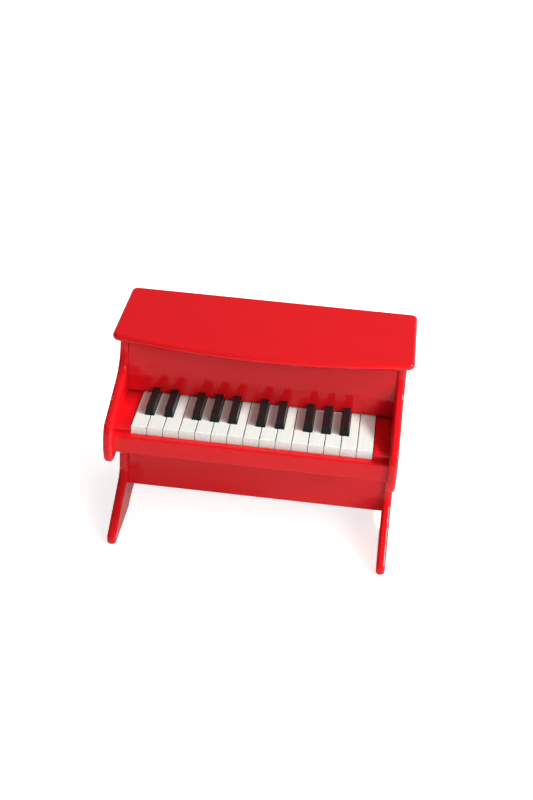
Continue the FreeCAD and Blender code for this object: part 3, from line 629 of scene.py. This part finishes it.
def return_spring(lever_places, material):
    """The strip of the return spring on the bed, and a bent finger under each key."""
    low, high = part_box("key_return_spring")
    root = high.y - SPRING_FINGER_RUN
    strip_top = low.z + SPRING_THICKNESS
    strip_shape = sheet_bar(low.x, high.x, [(low.y, strip_top), (root, strip_top)])
    strip = new_piece("return_spring_strip", strip_shape, material)
    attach(strip, "case")
    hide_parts("key_return_spring")
    shares = [step / SPRING_STEPS for step in range(SPRING_STEPS + 1)]
    rise = high.z - strip_top
    stations = [(root + share * SPRING_FINGER_RUN, strip_top + share * rise) for share in shares]
    for body, middle in lever_places.items():
        left = middle - SPRING_FINGER_WIDTH / 2
        finger_shape = sheet_bar(left, left + SPRING_FINGER_WIDTH, stations)
        finger = new_piece(f"return_spring_finger_{body}", finger_shape, material)
        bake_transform(finger)
        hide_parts("key_return_spring")


def floor():
    """A plain pale floor that keeps a soft shadow."""
    corners = [(x * FLOOR_REACH, y * FLOOR_REACH, 0) for x, y in ((-1, -1), (1, -1), (1, 1), (-1, 1))]
    mesh = bpy.data.meshes.new("floor")
    mesh.from_pydata(corners, [], [range(len(corners))])
    item = bpy.data.objects.new("floor", mesh)
    bpy.context.scene.collection.objects.link(item)
    shader = Shader("floor")
    path = shader.add("ShaderNodeLightPath").outputs
    glow = shader.math("MULTIPLY", path["Is Camera Ray"], FLOOR_GLOW_STRENGTH)
    for ray in ("Is Glossy Ray", "Is Transmission Ray"):
        mirrored = shader.math("MULTIPLY", path[ray], FLOOR_MIRRORED_STRENGTH)
        glow = shader.math("MAXIMUM", glow, mirrored)
    shader.finish(Base_Color=FLOOR_WHITE, Roughness=FLOOR_ROUGHNESS, Specular_IOR_Level=FLOOR_SPECULAR,
                  Emission_Color=WHITE_LIGHT, Emission_Strength=glow)
    mesh.materials.append(shader.material)


def world():
    """White light from all round, stronger towards the right, with a pale backdrop behind the piano."""
    scene_world = bpy.data.worlds.new("studio")
    scene_world.use_nodes = True
    graph = Graph(scene_world.node_tree)
    axes = graph.split(graph.add("ShaderNodeTexCoord").outputs["Generated"])
    strength = graph.ramp(axes["X"], -1.0, 1.0, WORLD_LEFT_STRENGTH, WORLD_RIGHT_STRENGTH)
    near_horizon = graph.ramp(axes["Z"], *BACKDROP_RISE, BACKDROP_STRENGTH, 0.0)
    backdrop = graph.math("MULTIPLY", near_horizon, graph.ramp(axes["Y"], *BACKDROP_TURN))
    path = graph.add("ShaderNodeLightPath").outputs
    shown = {
        "Is Camera Ray": WORLD_SEEN_STRENGTH,
        "Is Glossy Ray": backdrop,
        "Is Transmission Ray": backdrop,
    }
    for ray, level in shown.items():
        strength = graph.math("MAXIMUM", strength, graph.math("MULTIPLY", path[ray], level))
    background = graph.tree.nodes["Background"]
    graph.feed(background.inputs["Color"], WHITE_LIGHT)
    graph.feed(background.inputs["Strength"], strength)
    bpy.context.scene.world = scene_world


def lights():
    """A bright soft box on the upper right, three weaker ones in front and one behind."""
    for name, (place, target, width, height, power) in SOFT_BOXES.items():
        lamp = bpy.data.lights.new(name, "AREA")
        lamp.shape = "RECTANGLE"
        lamp.size = width
        lamp.size_y = height
        lamp.energy = power
        item = bpy.data.objects.new(name, lamp)
        item.location = place
        item.rotation_euler = (Vector(target) - Vector(place)).to_track_quat("-Z", "Y").to_euler()
        item.visible_camera = False
        item.visible_glossy = name == MIRRORED_BOX
        bpy.context.scene.collection.objects.link(item)


def camera():
    """The photograph's viewpoint."""
    lens = bpy.data.cameras.new("camera")
    lens.lens = CAMERA_LENS_MM
    lens.sensor_width = CAMERA_SENSOR_MM
    item = bpy.data.objects.new("camera", lens)
    turn = Matrix.Rotation(math.radians(CAMERA_YAW_DEG), 4, "Z")
    tilt = Matrix.Rotation(math.radians(90 - CAMERA_TILT_DEG), 4, "X")
    roll = Matrix.Rotation(math.radians(CAMERA_ROLL_DEG), 4, "Z")
    item.matrix_world = Matrix.Translation(CAMERA_PLACE) @ turn @ tilt @ roll
    bpy.context.scene.collection.objects.link(item)
    bpy.context.scene.camera = item


finishes = {
    "red_lacquer": red_lacquer(),
    "bare_wood": bare_wood(),
    "hardboard": hardboard(),
    "steel": steel(),
    "cast_block": cast_block(),
    "felt": felt(),
    "white_key": painted_key("white_key", KEY_WHITE, KEY_GREY, KEY_SIDE_SHADE,
                             WHITE_KEY_ROUGHNESS, WHITE_KEY_SPECULAR),
    "black_key": painted_key("black_key", KEY_BLACK, KEY_SOFT_BLACK, KEY_SOFT_BLACK,
                             BLACK_KEY_ROUGHNESS, BLACK_KEY_SPECULAR),
}
dress(finishes)
side_finish = chipped_and_highlit_lacquer()
for panel in ("left_side_panel", "right_side_panel"):
    nodes[panel].data.materials[0] = side_finish

screw_set("back_panel_domed_screws", "back_panel_screws", finishes["steel"])
screw_set("rod_block_domed_screws", "rod_block_screws", finishes["steel"])

key_names = [name for name in frame["bodies"] if name != "case"]
white_boxes = [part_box(name) for name in key_names if name.startswith("white")]
key_middles = [(low.x + high.x) / 2 for low, high in white_boxes]
hammers = [lever_and_hammer(name)[1] for name in key_names]
lever_middles = [(low.x + high.x) / 2 for low, high in hammers]
felt_strip("front_felt_strip", "front_key_felt", key_middles, finishes["felt"])
felt_strip("rest_felt_strip", "rest_rail_felt", lever_middles, finishes["felt"])
return_spring(dict(zip(key_names, lever_middles)), finishes["steel"])

floor()
world()
lights()
camera()
bpy.context.scene.view_settings.view_transform = "Standard"
